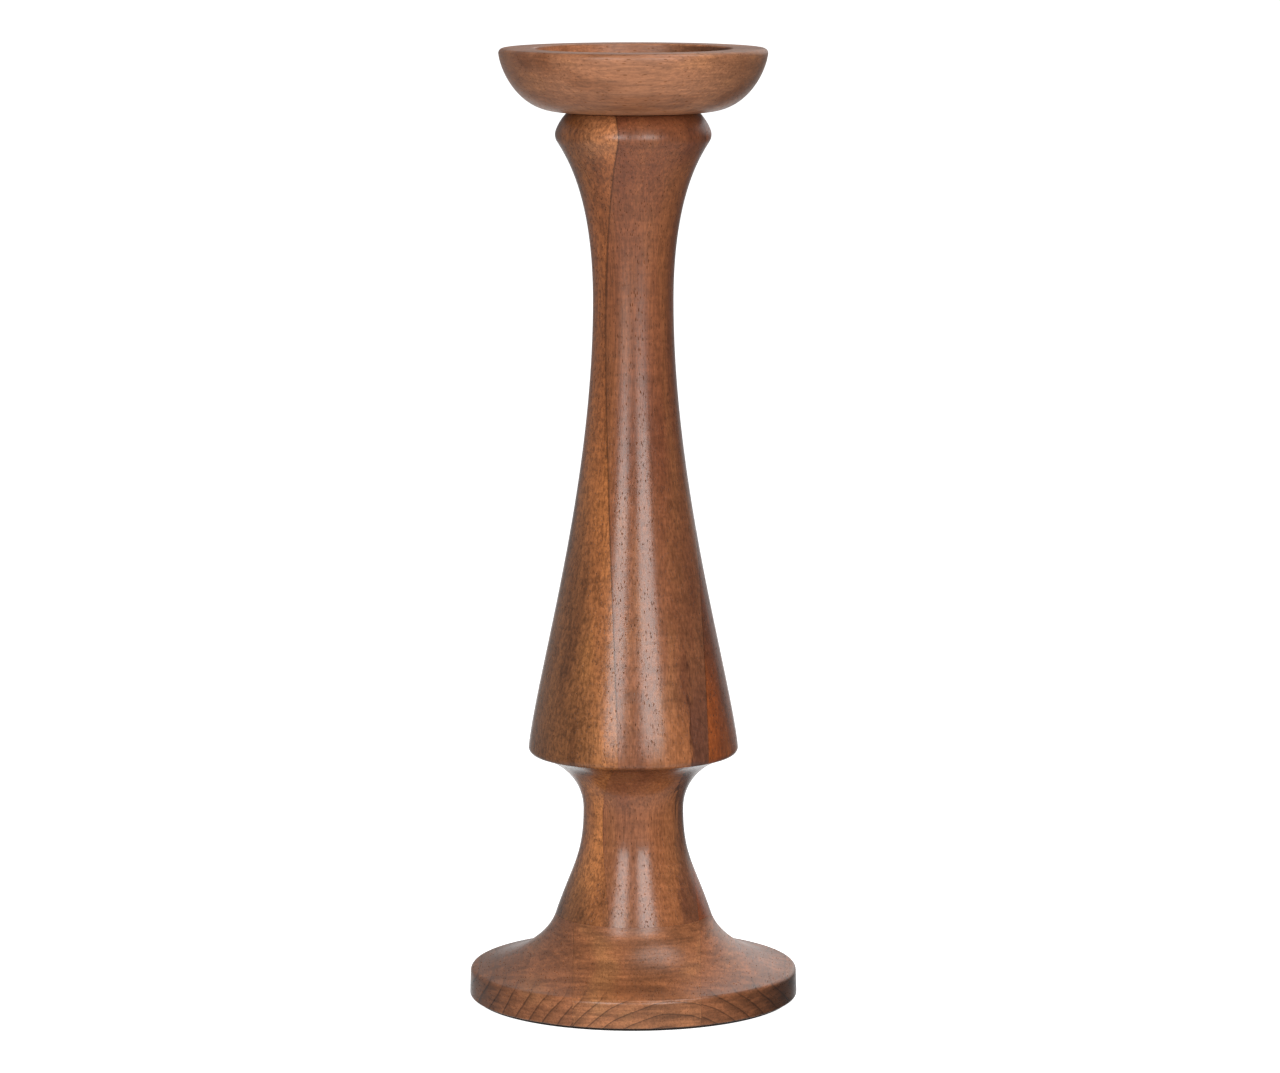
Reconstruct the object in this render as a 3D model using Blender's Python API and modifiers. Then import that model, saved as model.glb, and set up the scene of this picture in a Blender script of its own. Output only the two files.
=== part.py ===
"""Turned wooden candlestick for one pillar candle.

The stem is turned from a blank of three glued boards (staves), the base from three edge-glued
boards and the dish from one board. A tenon on the stem sits in a mortise in the base and is
pulled tight by a screw from beneath. A fluted dowel holds the dish, and felt covers the base.
The underside of the felt is at z = 0 and the turning axis is the Z axis.
"""

import math

import bpy
from mathutils import Vector
from mathutils.geometry import interpolate_bezier

MM = 0.001
CONTACT_GAP = 0.3 * MM  # between any two pieces that touch or are glued
ROUND_STEPS = 48  # facets round a turned piece
SMALL_ROUND_STEPS = 16  # facets round the screw
SHARP_ANGLE = math.radians(40)
WIRE_MERGE = 0.01 * MM

# Felt
FELT_THICKNESS = 1.0 * MM
FELT_INSET = 2.1 * MM  # how far it stops short of the base's edge

# Base: a disc with an upright edge, swept up to a neck
BASE_RADIUS = 69.1 * MM
BASE_HEIGHT = 34.5 * MM
BASE_EDGE_HEIGHT = 10.0 * MM
BASE_EDGE_DRAFT = math.radians(2)
BASE_UNDER_ROUND = 0.8 * MM
BASE_UPPER_ROUND = 2.0 * MM
BASE_SLOPE = math.radians(8)  # fall of the sweep where it meets the edge
BASE_SLOPE_PULL = 18.0 * MM
NECK_RADIUS = 32.8 * MM
NECK_LEAN = math.radians(16.4)
NECK_PULL = 10.1 * MM
BASE_BOARD_WIDTH = 53.0 * MM
BASE_BOARD_OFFSET = 1.5 * MM  # middle board's centre from the axis

# Stem: foot, lower waist, undercut cove, skirt edge, tapered body, upper waist, neck and bead
FOOT_HEIGHT = 44.6 * MM
FOOT_LEAN = math.radians(18.7)
FOOT_PULL = 21.1 * MM
FOOT_WAIST_PULL = 20.4 * MM
LOWER_WAIST_RADIUS = 21.1 * MM
COVE_HEIGHT = 23.9 * MM
COVE_LEAN = math.radians(74.6)
COVE_WAIST_PULL = 12.2 * MM
COVE_PULL = 12.4 * MM
SKIRT_RADIUS = 44.1 * MM
SKIRT_ROUND = 2.7 * MM
BODY_HEIGHT = 188.0 * MM
BODY_LEAN = math.radians(6.6)
BODY_PULL = 33.0 * MM
BODY_WAIST_PULL = 77.5 * MM
UPPER_WAIST_RADIUS = 16.8 * MM
FLARE_HEIGHT = 66.0 * MM
FLARE_RADIUS = 31.7 * MM
FLARE_LEAN = math.radians(31)
FLARE_WAIST_PULL = 44.0 * MM
FLARE_PULL = 6.8 * MM
BEAD_ROUND = 5.3 * MM
BEAD_CROWN_ROUND = 20.0 * MM
BEAD_CROWN_LEAN = math.radians(20)  # inward lean where the crown starts
BEAD_TOP_LEAN = math.radians(45)  # and where it meets the dish
STAVE_THICKNESS = 39.5 * MM
STAVE_OFFSET = 4.8 * MM  # middle stave's centre from the axis, at half height
STAVE_TURN = math.radians(13)
STAVE_LEAN = math.radians(0.63)
BLANK_ALLOWANCE = 5.0 * MM  # wood beyond the turned outline on every side

# Dish
DISH_RADIUS = 55.8 * MM
DISH_HEIGHT = 26.0 * MM
DISH_FLAT_RADIUS = 31.0 * MM  # flat underside round the bead
DISH_BELLY_PULL = 15.7 * MM
DISH_SIDE_LEAN = math.radians(7)
DISH_SIDE_PULL = 8.4 * MM
RIM_OUTER_ROUND = 2.0 * MM
RIM_INNER_ROUND = 0.7 * MM
RECESS_RADIUS = 41.0 * MM
RECESS_DEPTH = 12.0 * MM
RECESS_FILLET = 1.2 * MM

# Joints
TENON_RADIUS = 12.5 * MM
TENON_CHAMFER = 1.0 * MM
MORTISE_END_SPACE = 1.0 * MM
BASE_WEB = 11.8 * MM  # wood left under the mortise
DOWEL_RADIUS = 6.0 * MM
DOWEL_LENGTH = 30.0 * MM
DOWEL_END_SPACE = 1.0 * MM
DISH_WEB = 3.4 * MM  # wood left between the dowel's hole and the recess
DOWEL_CHAMFER = 0.8 * MM
FLUTE_COUNT = 10
FLUTE_DEPTH = 0.4 * MM

# Screw
SCREW_RADIUS = 2.5 * MM
SCREW_LENGTH = 55.0 * MM
SCREW_TIP_LENGTH = 5.0 * MM
SCREW_TIP_RADIUS = 0.4 * MM
HEAD_RADIUS = 5.0 * MM
HEAD_RIM = 0.5 * MM
HEAD_CONE_LENGTH = 2.5 * MM
HEAD_DEPTH = 3.0 * MM  # head below the base's underside
COUNTERBORE_CLEARANCE = 1.5 * MM
DRIVE_LENGTH = 5.0 * MM
DRIVE_WIDTH = 1.0 * MM
DRIVE_DEPTH = 1.6 * MM
PILOT_END_SPACE = 2.0 * MM

# Heights of the joints along the axis
BASE_BOTTOM = FELT_THICKNESS + CONTACT_GAP
BASE_TOP = BASE_BOTTOM + BASE_HEIGHT
STEM_BOTTOM = BASE_TOP + CONTACT_GAP
LOWER_WAIST = STEM_BOTTOM + FOOT_HEIGHT
MORTISE_FLOOR = BASE_BOTTOM + BASE_WEB
TENON_BOTTOM = MORTISE_FLOOR + MORTISE_END_SPACE
HEAD_BOTTOM = BASE_BOTTOM + HEAD_DEPTH
SCREW_TIP = HEAD_BOTTOM + SCREW_LENGTH
DOWEL_IN_DISH = DISH_HEIGHT - RECESS_DEPTH - DISH_WEB - DOWEL_END_SPACE

GOLDEN_WOOD = (0.36, 0.17, 0.075)
BROWN_WOOD = (0.29, 0.11, 0.055)
RED_WOOD = (0.33, 0.10, 0.045)
PALE_WOOD = (0.62, 0.42, 0.22)
DARK_FELT = (0.02, 0.018, 0.016)
ZINC = (0.62, 0.60, 0.56)


def along(lean):
    """Unit step in the plane of radius and height, leaning outwards from straight up."""
    return Vector((math.sin(lean), math.cos(lean)))


def sweep(start, start_lean, start_pull, end, end_lean, end_pull, count):
    """Smooth curve that leaves start and reaches end at the given leans."""
    start, end = Vector(start), Vector(end)
    handles = start + start_pull * along(start_lean), end - end_pull * along(end_lean)
    return interpolate_bezier(start, *handles, end, count)


def bend(start, lean, end_lean, radius, count):
    """Round arc that leaves start at one lean and ends at the other."""
    side = radius if end_lean < lean else -radius
    centre = Vector(start) + side * Vector((-math.cos(lean), math.sin(lean)))
    leans = [lean + (end_lean - lean) * i / (count - 1) for i in range(count)]
    return [centre + side * Vector((math.cos(a), -math.sin(a))) for a in leans]


def stem_outline():
    """Stem's outline from the screw's pilot hole, out and up to the dowel's hole.

    Also the heights and radii of its two waists.
    """
    pilot_radius = SCREW_RADIUS + CONTACT_GAP
    pilot_top = SCREW_TIP + PILOT_END_SPACE
    points = [
        Vector((0, pilot_top)),
        Vector((pilot_radius, pilot_top - pilot_radius)),
        Vector((pilot_radius, TENON_BOTTOM)),
        Vector((TENON_RADIUS - TENON_CHAMFER, TENON_BOTTOM)),
        Vector((TENON_RADIUS, TENON_BOTTOM + TENON_CHAMFER)),
        Vector((TENON_RADIUS, STEM_BOTTOM)),
    ]
    waist = Vector((LOWER_WAIST_RADIUS, LOWER_WAIST))
    foot = (NECK_RADIUS, STEM_BOTTOM)
    points += sweep(foot, -FOOT_LEAN, FOOT_PULL, waist, 0, FOOT_WAIST_PULL, 9)[:-1]
    cove_radius = SKIRT_RADIUS - SKIRT_ROUND * (1 - math.cos(COVE_LEAN))
    skirt = (cove_radius, LOWER_WAIST + COVE_HEIGHT)
    points += sweep(waist, 0, COVE_WAIST_PULL, skirt, COVE_LEAN, COVE_PULL, 10)
    points += bend(points.pop(), COVE_LEAN, -BODY_LEAN, SKIRT_ROUND, 5)
    body = points.pop()
    upper_waist = Vector((UPPER_WAIST_RADIUS, body.y + BODY_HEIGHT))
    points += sweep(body, -BODY_LEAN, BODY_PULL, upper_waist, 0, BODY_WAIST_PULL, 10)[:-1]
    flare = Vector((FLARE_RADIUS, upper_waist.y + FLARE_HEIGHT))
    points += sweep(upper_waist, 0, FLARE_WAIST_PULL, flare, FLARE_LEAN, FLARE_PULL, 9)
    points += bend(points.pop(), FLARE_LEAN, -BEAD_CROWN_LEAN, BEAD_ROUND, 4)
    points += bend(points.pop(), -BEAD_CROWN_LEAN, -BEAD_TOP_LEAN, BEAD_CROWN_ROUND, 4)
    top = points[-1].y
    hole_radius = DOWEL_RADIUS + CONTACT_GAP
    hole_floor = dowel_bottom(top) - DOWEL_END_SPACE
    points += [Vector((hole_radius, top)), Vector((hole_radius, hole_floor)), Vector((0, hole_floor))]
    return points, (waist, upper_waist), top


def dowel_bottom(stem_top):
    return stem_top + CONTACT_GAP + DOWEL_IN_DISH - DOWEL_LENGTH


def base_outline():
    """Closed outline of the base, with its mortise and the screw's stepped hole."""
    under = (BASE_RADIUS - BASE_UNDER_ROUND, BASE_BOTTOM)
    points = bend(under, math.radians(90), -BASE_EDGE_DRAFT, BASE_UNDER_ROUND, 3)
    rise = BASE_EDGE_HEIGHT - BASE_UNDER_ROUND
    edge = points[-1] + rise * along(-BASE_EDGE_DRAFT)
    slope = math.radians(90) - BASE_SLOPE
    points += bend(edge, -BASE_EDGE_DRAFT, -slope, BASE_UPPER_ROUND, 5)
    neck = (NECK_RADIUS, BASE_TOP)
    points += sweep(points.pop(), -slope, BASE_SLOPE_PULL, neck, -NECK_LEAN, NECK_PULL, 12)
    mortise_radius = TENON_RADIUS + CONTACT_GAP
    hole_radius = SCREW_RADIUS + CONTACT_GAP
    sink_radius = HEAD_RADIUS + CONTACT_GAP
    counterbore_radius = HEAD_RADIUS + COUNTERBORE_CLEARANCE
    sink_bottom = HEAD_BOTTOM + HEAD_RIM + CONTACT_GAP
    points += [
        Vector((mortise_radius, BASE_TOP)),
        Vector((mortise_radius, MORTISE_FLOOR)),
        Vector((hole_radius, MORTISE_FLOOR)),
        Vector((hole_radius, sink_bottom + HEAD_CONE_LENGTH)),
        Vector((sink_radius, sink_bottom)),
        Vector((counterbore_radius, sink_bottom)),
        Vector((counterbore_radius, BASE_BOTTOM)),
    ]
    return points


def dish_outline(bottom):
    """Dish's outline from the dowel's hole, round the rim and back to the recess floor."""
    hole_radius = DOWEL_RADIUS + CONTACT_GAP
    hole_top = bottom + DOWEL_IN_DISH + DOWEL_END_SPACE
    top = bottom + DISH_HEIGHT
    flat, level, down = (DISH_FLAT_RADIUS, bottom), math.radians(90), math.radians(180)
    widest = RIM_OUTER_ROUND * (1 - math.cos(DISH_SIDE_LEAN))
    rise = RIM_OUTER_ROUND * (1 + math.sin(DISH_SIDE_LEAN))
    side = (DISH_RADIUS - widest, top - rise)
    points = [Vector((0, hole_top)), Vector((hole_radius, hole_top)), Vector((hole_radius, bottom))]
    points += sweep(flat, level, DISH_BELLY_PULL, side, DISH_SIDE_LEAN, DISH_SIDE_PULL, 12)
    points += bend(points.pop(), DISH_SIDE_LEAN, -level, RIM_OUTER_ROUND, 5)
    inner_rim = (RECESS_RADIUS + RIM_INNER_ROUND, top)
    points += bend(inner_rim, -level, -down, RIM_INNER_ROUND, 3)
    wall_foot = (RECESS_RADIUS, top - RECESS_DEPTH + RECESS_FILLET)
    points += bend(wall_foot, -down, -level, RECESS_FILLET, 3)
    return points + [Vector((0, top - RECESS_DEPTH))]


def screw_outline():
    """Wood screw's outline, head down."""
    neck = HEAD_BOTTOM + HEAD_RIM + HEAD_CONE_LENGTH
    return [
        Vector((0, HEAD_BOTTOM)),
        Vector((HEAD_RADIUS, HEAD_BOTTOM)),
        Vector((HEAD_RADIUS, HEAD_BOTTOM + HEAD_RIM)),
        Vector((SCREW_RADIUS, neck)),
        Vector((SCREW_RADIUS, SCREW_TIP - SCREW_TIP_LENGTH)),
        Vector((SCREW_TIP_RADIUS, SCREW_TIP)),
        Vector((0, SCREW_TIP)),
    ]


def paint(obj, name, colour, roughness, metallic=0.0):
    material = bpy.data.materials.new(name)
    material.use_nodes = True
    shader = material.node_tree.nodes["Principled BSDF"]
    shader.inputs["Base Color"].default_value = (*colour, 1.0)
    shader.inputs["Roughness"].default_value = roughness
    shader.inputs["Metallic"].default_value = metallic
    obj.data.materials.clear()
    obj.data.materials.append(material)


def turned(name, outline, collection, closed=False, steps=ROUND_STEPS):
    """Solid of revolution about Z. The outline runs up its outer side."""
    points = [(p.x, 0.0, p.y) for p in reversed(outline)]
    edges = [(i, i + 1) for i in range(len(points) - 1)]
    if closed:
        edges.append((len(points) - 1, 0))
    profile = bpy.data.meshes.new(name + "_profile")
    profile.from_pydata(points, edges, [])
    lathe = bpy.data.objects.new(name + "_lathe", profile)
    collection.objects.link(lathe)
    screw = lathe.modifiers.new("Turn", "SCREW")
    screw.steps = screw.render_steps = steps
    screw.use_merge_vertices = True
    screw.merge_threshold = WIRE_MERGE
    bpy.context.view_layer.update()
    evaluated = lathe.evaluated_get(bpy.context.evaluated_depsgraph_get())
    mesh = bpy.data.meshes.new_from_object(evaluated)
    bpy.data.objects.remove(lathe)
    mesh.shade_smooth()
    mesh.set_sharp_from_angle(angle=SHARP_ANGLE)
    obj = bpy.data.objects.new(name, mesh)
    collection.objects.link(obj)
    return obj


def block(name, size, location, collection, parent=None):
    """Rectangular board with its scale applied."""
    bpy.ops.mesh.primitive_cube_add(size=1)
    obj = bpy.context.object
    obj.name = name
    obj.scale = size
    bpy.ops.object.transform_apply(location=False, rotation=False, scale=True)
    move_to(obj, collection)
    obj.location = location
    obj.parent = parent
    return obj


def move_to(obj, collection):
    for old in list(obj.users_collection):
        old.objects.unlink(obj)
    collection.objects.link(obj)


def cutter(obj):
    obj.hide_render = True
    obj.display_type = "WIRE"
    return obj


def boolean(obj, operation, other):
    modifier = obj.modifiers.new(operation.title(), "BOOLEAN")
    modifier.operation = operation
    modifier.object = other


def empty(name, location, rotation, collection):
    obj = bpy.data.objects.new(name, None)
    obj.location = location
    obj.rotation_euler = rotation
    collection.objects.link(obj)
    return obj


def stave_lengths(name, seam, half_height, waists, low, high):
    """Lengths of an outer stave that turning leaves.

    Where its glue line lies outside a waist the stave is turned away, so it ends there.
    """
    heights = [low] + [waist.y for waist in waists] + [high]
    regions = list(zip(("foot", "body", "bead"), heights, heights[1:]))
    pieces = [[regions[0]]]
    for region, waist in zip(regions[1:], waists):
        glue_line = (seam + math.sin(STAVE_LEAN) * (waist.y - half_height)) / math.cos(STAVE_LEAN)
        if abs(glue_line) < waist.x:
            pieces[-1].append(region)
        else:
            pieces.append([region])
    if len(pieces) == 1:
        return [(name, low, high)]
    return [("_".join([name] + [r[0] for r in piece]), piece[0][1], piece[-1][2]) for piece in pieces]


def build_stem(parts, cutters):
    """Three glued staves, each the turned stem's share of its own board."""
    outline, waists, top = stem_outline()
    shape = cutter(turned("stem_turning", outline, cutters))
    low, high = TENON_BOTTOM - BLANK_ALLOWANCE, top + BLANK_ALLOWANCE
    half_height = (low + high) / 2
    blank = empty("stem_blank", (0, 0, half_height), (0, STAVE_LEAN, STAVE_TURN), parts)
    depth = 2 * (SKIRT_RADIUS + BLANK_ALLOWANCE)
    outer = SKIRT_RADIUS + BLANK_ALLOWANCE
    half = STAVE_THICKNESS / 2
    inner = STAVE_THICKNESS - CONTACT_GAP
    boards = [("stem_middle_stave", STAVE_OFFSET, inner, low, high, BROWN_WOOD)]
    for side, name, colour in ((-1, "stem_left_stave", GOLDEN_WOOD), (1, "stem_right_stave", RED_WOOD)):
        seam = STAVE_OFFSET + side * half
        centre = seam + side * (outer + CONTACT_GAP) / 2
        for piece, bottom, end in stave_lengths(name, seam, half_height, waists, low, high):
            boards.append((piece, centre, outer, bottom, end, colour))
    for name, centre, thickness, bottom, end, colour in boards:
        size = (thickness, depth, end - bottom - CONTACT_GAP)
        place = (centre, 0, (bottom + end) / 2 - half_height)
        board = block(name, size, place, parts, blank)
        boolean(board, "INTERSECT", shape)
        paint(board, name + "_wood", colour, 0.38)
    return top


def build_base(parts, cutters):
    """Three edge-glued boards, each the turned base's share of its own board."""
    shape = cutter(turned("base_turning", base_outline(), cutters, closed=True))
    height = BASE_HEIGHT + 2 * BLANK_ALLOWANCE
    blank = empty("base_blank", (BASE_BOARD_OFFSET, 0, BASE_BOTTOM + BASE_HEIGHT / 2), (0, 0, 0), parts)
    depth = 2 * (BASE_RADIUS + BLANK_ALLOWANCE)
    outer = BASE_RADIUS + BLANK_ALLOWANCE
    centre = (BASE_BOARD_WIDTH + CONTACT_GAP + outer) / 2
    boards = (
        ("base_left_board", -centre, outer, BROWN_WOOD),
        ("base_middle_board", 0, BASE_BOARD_WIDTH - CONTACT_GAP, GOLDEN_WOOD),
        ("base_right_board", centre, outer, RED_WOOD),
    )
    for name, place, width, colour in boards:
        board = block(name, (width, depth, height), (place, 0, 0), parts, blank)
        boolean(board, "INTERSECT", shape)
        paint(board, name + "_wood", colour, 0.38)


def build_dish(parts, stem_top):
    dish = turned("candle_dish", dish_outline(stem_top + CONTACT_GAP), parts)
    paint(dish, "candle_dish_wood", BROWN_WOOD, 0.38)


def build_dowel(parts, stem_top):
    """Beech dowel with straight flutes and chamfered ends."""
    bpy.ops.mesh.primitive_cylinder_add(
        vertices=2 * FLUTE_COUNT, radius=DOWEL_RADIUS, depth=DOWEL_LENGTH
    )
    dowel = bpy.context.object
    dowel.name = "dish_dowel"
    for vertex in dowel.data.vertices:
        step = math.atan2(vertex.co.y, vertex.co.x) * FLUTE_COUNT / math.pi
        if round(step) % 2:
            vertex.co.xy *= 1 - FLUTE_DEPTH / DOWEL_RADIUS
    chamfer = dowel.modifiers.new("Chamfer", "BEVEL")
    chamfer.width = DOWEL_CHAMFER
    chamfer.segments = 1
    chamfer.limit_method = "ANGLE"
    chamfer.angle_limit = math.radians(60)
    move_to(dowel, parts)
    dowel.location.z = dowel_bottom(stem_top) + DOWEL_LENGTH / 2
    paint(dowel, "dish_dowel_beech", PALE_WOOD, 0.6)


def build_screw(parts, cutters):
    """Countersunk wood screw with a cross recess, its head facing down."""
    screw = turned("base_screw", screw_outline(), parts, steps=SMALL_ROUND_STEPS)
    sides = (DRIVE_LENGTH, DRIVE_WIDTH)
    for name, size in (("drive_slot_x", sides), ("drive_slot_y", sides[::-1])):
        slot = cutter(block(name, (*size, 2 * DRIVE_DEPTH), (0, 0, HEAD_BOTTOM), cutters))
        boolean(screw, "DIFFERENCE", slot)
    paint(screw, "base_screw_zinc", ZINC, 0.35, metallic=1.0)


def build_felt(parts):
    bpy.ops.mesh.primitive_cylinder_add(
        vertices=ROUND_STEPS, radius=BASE_RADIUS - FELT_INSET, depth=FELT_THICKNESS
    )
    felt = bpy.context.object
    felt.name = "base_felt"
    move_to(felt, parts)
    felt.location.z = FELT_THICKNESS / 2
    paint(felt, "base_felt_dark", DARK_FELT, 0.95)


def main():
    for obj in list(bpy.data.objects):
        bpy.data.objects.remove(obj)
    scene = bpy.context.scene.collection
    parts = bpy.data.collections.new("wooden_candlestick")
    cutters = bpy.data.collections.new("cutters")
    scene.children.link(parts)
    scene.children.link(cutters)
    stem_top = build_stem(parts, cutters)
    build_base(parts, cutters)
    build_dish(parts, stem_top)
    build_dowel(parts, stem_top)
    build_screw(parts, cutters)
    build_felt(parts)


main()
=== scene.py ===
"""Turned wooden candlestick, glued up from staves and boards, with a dish for a pillar candle.

Each visible piece stands for one CAD node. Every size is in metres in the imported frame: the felt's
underside is at z = 0 and the turning axis is the Z axis.
"""

import math

import bmesh
import bpy
from bpy.props import FloatProperty, FloatVectorProperty, IntProperty, PointerProperty
from mathutils import Euler, Matrix, Vector
from mathutils.geometry import interpolate_bezier


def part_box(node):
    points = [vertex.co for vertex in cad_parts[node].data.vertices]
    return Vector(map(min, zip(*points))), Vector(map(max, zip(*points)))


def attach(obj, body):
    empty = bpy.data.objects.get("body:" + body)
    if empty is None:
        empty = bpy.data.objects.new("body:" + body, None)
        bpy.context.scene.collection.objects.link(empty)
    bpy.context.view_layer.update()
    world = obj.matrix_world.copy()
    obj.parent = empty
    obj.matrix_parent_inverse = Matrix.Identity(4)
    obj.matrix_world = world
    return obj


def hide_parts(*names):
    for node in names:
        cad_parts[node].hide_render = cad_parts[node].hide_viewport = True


bl_info = {
    "name": "Turned Candlestick",
    "version": (1, 0, 0),
    "blender": (4, 5, 0),
    "location": "3D View > Sidebar > Candlestick",
    "description": "Turns a wooden candlestick piece by piece and sets it in a studio",
    "category": "Add Mesh",
}

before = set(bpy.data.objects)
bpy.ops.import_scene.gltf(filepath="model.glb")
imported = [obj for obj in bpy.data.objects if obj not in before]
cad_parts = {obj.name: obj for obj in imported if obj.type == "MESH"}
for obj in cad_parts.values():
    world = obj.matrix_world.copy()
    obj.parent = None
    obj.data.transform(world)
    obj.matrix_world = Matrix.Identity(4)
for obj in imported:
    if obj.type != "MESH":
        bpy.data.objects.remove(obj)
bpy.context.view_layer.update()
BODY = "root"

MM = 0.001
LEVEL = math.radians(90)
SEAM_GAP = 0.05 * MM  # open line left at a glued joint
WELD = 0.001 * MM
SHARP_ANGLE = math.radians(35)

# Heights of the joints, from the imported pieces
FELT_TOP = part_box("base_felt")[1].z
BASE_BOTTOM, BASE_TOP = (corner.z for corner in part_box("base_middle_board"))
TENON_BOTTOM, STEM_TOP = (corner.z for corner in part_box("stem_middle_stave"))
DISH_BOTTOM, DISH_TOP = (corner.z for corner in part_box("candle_dish"))
DOWEL_BOTTOM, DOWEL_TOP = (corner.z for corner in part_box("dish_dowel"))
SCREW_BOTTOM, SCREW_TIP = (corner.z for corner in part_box("base_screw"))
JOINT_GAP = BASE_BOTTOM - FELT_TOP
STEM_BOTTOM = BASE_TOP + SEAM_GAP
TENON_RADIUS = 12.5 * MM
END_SPACE = 1 * MM  # free space past the end of the tenon and of the dowel
HEAD_RIM, HEAD_CONE = 0.5 * MM, 2.5 * MM  # upright edge and cone of the screw's head
COUNTERBORE_PLAY = 1.5 * MM


def linear(colour):
    """sRGB hex colour as linear RGB."""
    shares = [int(colour[i : i + 2], 16) / 255 for i in (1, 3, 5)]
    return [s / 12.92 if s <= 0.04045 else ((s + 0.055) / 1.055) ** 2.4 for s in shares]


def length(name, about, size):
    return FloatProperty(
        name=name, description=about, default=size * MM, min=0.0, unit="LENGTH", precision=4
    )


def angle(name, about, size):
    return FloatProperty(name=name, description=about, default=math.radians(size), subtype="ANGLE")


def tint(name, about, colour):
    return FloatVectorProperty(
        name=name, description=about, default=linear(colour), min=0.0, max=1.0, subtype="COLOR"
    )


def number(name, about, count, least):
    return IntProperty(name=name, description=about, default=count, min=least)


def brightness(name, about, level):
    return FloatProperty(name=name, description=about, default=level, min=0.0)


class StemSettings(bpy.types.PropertyGroup):
    """Stem: foot, lower waist, cove, skirt, tapered body, upper waist, neck and bead."""

    steps: number("Steps Round", "Facets round the stem", 256, least=48)
    foot_radius: length("Foot Radius", "Where the stem stands on the base", 32.8)
    foot_height: length("Foot Height", "From the base to the lower waist", 44.6)
    lower_waist: length("Lower Waist", "Radius under the skirt", 21.1)
    cove_height: length("Cove Height", "From the lower waist to the skirt", 23.9)
    skirt_radius: length("Skirt Radius", "Widest radius of the body", 44.1)
    skirt_round: length("Skirt Round", "Radius of the skirt's edge", 2.7)
    body_height: length("Body Height", "From the skirt to the upper waist", 188.0)
    upper_waist: length("Upper Waist", "Radius of the narrowest part", 16.8)
    flare_height: length("Flare Height", "From the upper waist to the bead", 66.0)
    flare_radius: length("Flare Radius", "Radius where the bead starts", 31.7)
    bead_round: length("Bead Round", "Radius of the bead's edge", 5.3)
    stave_thickness: length("Stave Thickness", "Thickness of the middle stave", 39.5)
    stave_offset: length("Stave Offset", "Middle stave's centre from the axis", 4.8)
    stave_turn: angle("Stave Turn", "Turn of the staves about the axis", 13)
    stave_lean: angle("Stave Lean", "Lean of the staves from upright", 0.63)
    golden: tint("Left Stave", "Main colour of the left stave", "#96603A")
    brown: tint("Middle Stave", "Main colour of the middle stave", "#8E583A")
    red: tint("Right Stave", "Main colour of the right stave", "#8A4B2A")


class BaseSettings(bpy.types.PropertyGroup):
    """Base: a disc with an upright edge, swept up to a neck."""

    steps: number("Steps Round", "Facets round the base", 288, least=48)
    radius: length("Radius", "Radius of the base", 69.1)
    edge_height: length("Edge Height", "Height of the upright edge", 10.0)
    neck_radius: length("Neck Radius", "Radius under the stem", 32.8)
    board_width: length("Board Width", "Width of the middle board", 53.0)
    board_offset: length("Board Offset", "Middle board's centre from the axis", 1.5)
    left: tint("Left Board", "Main colour of the left board", "#955E3E")
    middle: tint("Middle Board", "Main colour of the middle board", "#985F3C")
    right: tint("Right Board", "Main colour of the right board", "#965D3C")


class DishSettings(bpy.types.PropertyGroup):
    """Dish for one pillar candle."""

    steps: number("Steps Round", "Facets round the dish", 288, least=48)
    radius: length("Radius", "Radius of the rim", 55.8)
    flat_radius: length("Flat Radius", "Flat underside round the bead", 31.0)
    recess_radius: length("Recess Radius", "Radius of the candle's recess", 41.0)
    recess_depth: length("Recess Depth", "Depth of the candle's recess", 12.0)
    wood: tint("Wood", "Main colour of the dish", "#9F6948")


class FittingSettings(bpy.types.PropertyGroup):
    """Dowel, screw and felt."""

    dowel_radius: length("Dowel Radius", "Radius of the dowel", 6.0)
    flutes: number("Flutes", "Flutes round the dowel", 10, least=3)
    flute_depth: length("Flute Depth", "Depth of each flute", 0.4)
    screw_radius: length("Screw Radius", "Radius over the thread", 2.5)
    head_radius: length("Head Radius", "Radius of the screw's head", 5.0)
    thread_pitch: length("Thread Pitch", "Rise of the thread in one turn", 2.2)
    felt_radius: length("Felt Radius", "Radius of the felt", 67.0)
    beech: tint("Beech", "Colour of the dowel", "#CDA57A")
    zinc: tint("Zinc", "Colour of the screw", "#C9C6BF")
    felt: tint("Felt", "Colour of the felt", "#2A2523")


class StageSettings(bpy.types.PropertyGroup):
    """Floor, lights and camera."""

    floor: tint("Floor", "Colour of the floor", "#F2F2F2")
    surround: brightness("Surround", "Brightness of the room in front", 0.12)
    backlight: brightness("Backlight", "Brightness of the room behind", 0.22)
    backdrop: brightness("Backdrop", "Brightness high up behind", 1.0)
    bounce: brightness("Bounce", "Brightness from below and in front", 0.68)
    strips: brightness("Strips", "Brightness of the upright soft boxes", 7.0)
    overhead: brightness("Overhead", "Brightness of the top light", 4.2)
    lens: FloatProperty(
        name="Lens", description="Focal length on a 36 mm sensor, in mm", default=146.51, min=10.0
    )
    distance: length("Distance", "Camera's distance in front of the axis", 2158.5)
    height: length("Height", "Camera's height", 498.9)
    pitch: angle("Pitch", "How far the camera looks down", 7.99)


class CandlestickSettings(bpy.types.PropertyGroup):
    """All of the candlestick's settings."""

    stem: PointerProperty(type=StemSettings)
    base: PointerProperty(type=BaseSettings)
    dish: PointerProperty(type=DishSettings)
    fittings: PointerProperty(type=FittingSettings)
    stage: PointerProperty(type=StageSettings)


# Outlines, as points of radius and height


def along(lean):
    """Unit step in the plane of radius and height, leaning outwards from straight up."""
    return Vector((math.sin(lean), math.cos(lean)))


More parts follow.
